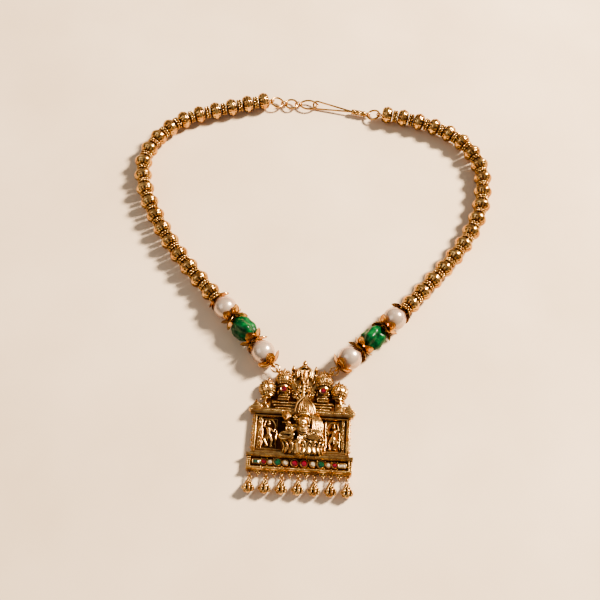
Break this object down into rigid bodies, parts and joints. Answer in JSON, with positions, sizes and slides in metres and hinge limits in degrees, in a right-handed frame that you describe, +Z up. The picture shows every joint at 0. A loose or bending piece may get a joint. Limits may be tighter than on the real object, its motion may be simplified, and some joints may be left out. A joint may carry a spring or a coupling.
{
  "type": "temple jewellery necklace",
  "caption": "Necklace of ribbed gold beads, pearls and carved green stones with a shrine pendant, a seated figure, a row of stones and granulated drops, lying flat.",
  "frame": {"origin": "middle of the shrine pendant's flat back, on the surface that the necklace lies on", "axes": "+Z up off the surface towards the viewer, +Y up the pendant towards the clasp, +X to the viewer's right"},
  "size_m": [0.1515, 0.1823, 0.0096],
  "materials": {
    "antique_gold": "gold plated brass, granulated, dark brown in the recesses",
    "figure_gold": "gold plated casting, burnished on its high places",
    "bead_gold": "ribbed gold plated beads with polished bands and darkened grooves",
    "clasp_gold": "plain polished gold plated wire",
    "wire": "drawn stringing wire",
    "pearl": "cream pink lustrous pearl",
    "carved_green": "deep green carved stone, polished, a little translucent",
    "ruby": "crimson cut stone",
    "green_stone": "green cut stone",
    "dark_green_glass": "dark green step cut stone",
    "clear_stone": "clear cut stone"
  },
  "bodies": {
    "root": {"shrine_frame": "antique_gold", "goddess_figure": "figure_gold", "dome_ruby_left": "ruby", "dome_ruby_right": "ruby", "base_stone_1": "dark_green_glass", "base_stone_2": "ruby", "base_stone_3": "clear_stone", "base_stone_4": "green_stone", "base_stone_5": "clear_stone", "base_stone_6": "ruby", "base_stone_7": "ruby", "base_stone_8": "clear_stone", "base_stone_9": "green_stone", "base_stone_10": "clear_stone", "base_stone_11": "ruby", "base_stone_12": "clear_stone", "drop_1": "antique_gold", "drop_2": "antique_gold", "drop_3": "antique_gold", "drop_4": "antique_gold", "drop_5": "antique_gold", "drop_6": "antique_gold", "drop_7": "antique_gold", "drop_rings": "antique_gold", "pendant_link_left": "antique_gold", "pendant_link_right": "antique_gold", "pearl_left_lower": "pearl", "pearl_left_upper": "pearl", "pearl_right_lower": "pearl", "pearl_right_upper": "pearl", "carved_green_left": "carved_green", "carved_green_right": "carved_green", "bead_caps_left": "antique_gold", "bead_caps_right": "antique_gold", "bead_string_left": "bead_gold", "bead_string_right": "bead_gold", "thread_left": "wire", "thread_right": "wire", "clasp_ring_1": "clasp_gold", "clasp_ring_2": "clasp_gold", "clasp_ring_3": "clasp_gold", "clasp_links": "clasp_gold", "clasp_eye": "clasp_gold", "clasp_hook": "clasp_gold"}
  },
  "joints": []
}
